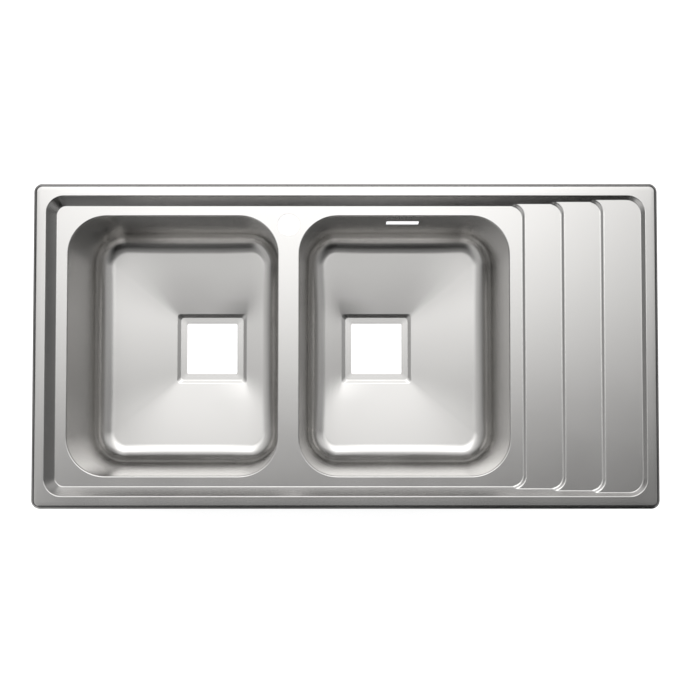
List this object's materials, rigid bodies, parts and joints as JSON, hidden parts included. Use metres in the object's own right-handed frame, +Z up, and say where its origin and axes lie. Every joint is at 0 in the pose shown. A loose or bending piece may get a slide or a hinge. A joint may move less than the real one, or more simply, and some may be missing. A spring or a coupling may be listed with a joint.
{
  "type": "inset kitchen sink",
  "caption": "Inset steel kitchen sink: two rounded bowls with square waste openings, a tap hole and a stepped drainer on the right, with clamps under the rim.",
  "frame": {"origin": "under the middle of the rim, at the level of the two sump undersides that the sink stands on", "axes": "+X along the sink towards the drainer, +Y towards the tap side at the back, +Z up"},
  "size_m": [1, 0.52, 0.1973],
  "materials": {
    "top_sheet": "satin",
    "bowl_sheet": "satin",
    "seal_foam": "matte foam",
    "plated_steel": "zinc plated",
    "plated_fastener": "zinc plated",
    "damping_pad": "matte"
  },
  "bodies": {
    "sink": {"sink_top": "top_sheet", "left_bowl": "bowl_sheet", "right_bowl": "bowl_sheet", "rim_seal": "seal_foam", "tap_plate": "plated_steel", "drainer_stiffener": "plated_steel", "left_floor_pad": "damping_pad", "right_floor_pad": "damping_pad", "left_side_pads": "damping_pad", "right_side_pads": "damping_pad", "drainer_pads": "damping_pad", "earth_lug": "plated_steel", "earth_bolt": "plated_fastener", "earth_washers": "plated_fastener", "earth_nut": "plated_fastener", "clamp_brackets": "plated_steel"},
    "screw_1": {"clamp_screw_1": "plated_fastener"},
    "claw_1": {"clamp_claw_1": "plated_steel"},
    "screw_2": {"clamp_screw_2": "plated_fastener"},
    "claw_2": {"clamp_claw_2": "plated_steel"},
    "screw_3": {"clamp_screw_3": "plated_fastener"},
    "claw_3": {"clamp_claw_3": "plated_steel"},
    "screw_4": {"clamp_screw_4": "plated_fastener"},
    "claw_4": {"clamp_claw_4": "plated_steel"},
    "screw_5": {"clamp_screw_5": "plated_fastener"},
    "claw_5": {"clamp_claw_5": "plated_steel"},
    "screw_6": {"clamp_screw_6": "plated_fastener"},
    "claw_6": {"clamp_claw_6": "plated_steel"},
    "screw_7": {"clamp_screw_7": "plated_fastener"},
    "claw_7": {"clamp_claw_7": "plated_steel"},
    "screw_8": {"clamp_screw_8": "plated_fastener"},
    "claw_8": {"clamp_claw_8": "plated_steel"},
    "screw_9": {"clamp_screw_9": "plated_fastener"},
    "claw_9": {"clamp_claw_9": "plated_steel"},
    "screw_10": {"clamp_screw_10": "plated_fastener"},
    "claw_10": {"clamp_claw_10": "plated_steel"}
  },
  "joints": [
    {"name": "screw_1_travel", "type": "slide", "parent": "sink", "child": "screw_1", "axis": [0, 0, 1], "range_m": [0, 0.0155]},
    {"name": "claw_1_swing", "type": "hinge", "parent": "screw_1", "child": "claw_1", "pos_m": [-0.36336, 0.22266, 0.1422], "axis": [0, 0, 1], "range_deg": [0, 90]},
    {"name": "screw_2_travel", "type": "slide", "parent": "sink", "child": "screw_2", "axis": [0, 0, 1], "range_m": [0, 0.0155]},
    {"name": "claw_2_swing", "type": "hinge", "parent": "screw_2", "child": "claw_2", "pos_m": [0.01044, 0.22266, 0.1422], "axis": [0, 0, 1], "range_deg": [0, 90]},
    {"name": "screw_3_travel", "type": "slide", "parent": "sink", "child": "screw_3", "axis": [0, 0, 1], "range_m": [0, 0.0155]},
    {"name": "claw_3_swing", "type": "hinge", "parent": "screw_3", "child": "claw_3", "pos_m": [0.3795, 0.22266, 0.1422], "axis": [0, 0, 1], "range_deg": [0, 90]},
    {"name": "screw_4_travel", "type": "slide", "parent": "sink", "child": "screw_4", "axis": [0, 0, 1], "range_m": [0, 0.0155]},
    {"name": "claw_4_swing", "type": "hinge", "parent": "screw_4", "child": "claw_4", "pos_m": [-0.36336, -0.22266, 0.1422], "axis": [0, 0, 1], "range_deg": [0, 90]},
    {"name": "screw_5_travel", "type": "slide", "parent": "sink", "child": "screw_5", "axis": [0, 0, 1], "range_m": [0, 0.0155]},
    {"name": "claw_5_swing", "type": "hinge", "parent": "screw_5", "child": "claw_5", "pos_m": [0.01044, -0.22266, 0.1422], "axis": [0, 0, 1], "range_deg": [0, 90]},
    {"name": "screw_6_travel", "type": "slide", "parent": "sink", "child": "screw_6", "axis": [0, 0, 1], "range_m": [0, 0.0155]},
    {"name": "claw_6_swing", "type": "hinge", "parent": "screw_6", "child": "claw_6", "pos_m": [0.3795, -0.22266, 0.1422], "axis": [0, 0, 1], "range_deg": [0, 90]},
    {"name": "screw_7_travel", "type": "slide", "parent": "sink", "child": "screw_7", "axis": [0, 0, 1], "range_m": [0, 0.0155]},
    {"name": "claw_7_swing", "type": "hinge", "parent": "screw_7", "child": "claw_7", "pos_m": [-0.46266, -0.10448, 0.1422], "axis": [0, 0, 1], "range_deg": [0, 90]},
    {"name": "screw_8_travel", "type": "slide", "parent": "sink", "child": "screw_8", "axis": [0, 0, 1], "range_m": [0, 0.0155]},
    {"name": "claw_8_swing", "type": "hinge", "parent": "screw_8", "child": "claw_8", "pos_m": [-0.46266, 0.10448, 0.1422], "axis": [0, 0, 1], "range_deg": [0, 90]},
    {"name": "screw_9_travel", "type": "slide", "parent": "sink", "child": "screw_9", "axis": [0, 0, 1], "range_m": [0, 0.0155]},
    {"name": "claw_9_swing", "type": "hinge", "parent": "screw_9", "child": "claw_9", "pos_m": [0.46266, -0.10448, 0.1422], "axis": [0, 0, 1], "range_deg": [0, 90]},
    {"name": "screw_10_travel", "type": "slide", "parent": "sink", "child": "screw_10", "axis": [0, 0, 1], "range_m": [0, 0.0155]},
    {"name": "claw_10_swing", "type": "hinge", "parent": "screw_10", "child": "claw_10", "pos_m": [0.46266, 0.10448, 0.1422], "axis": [0, 0, 1], "range_deg": [0, 90]}
  ]
}
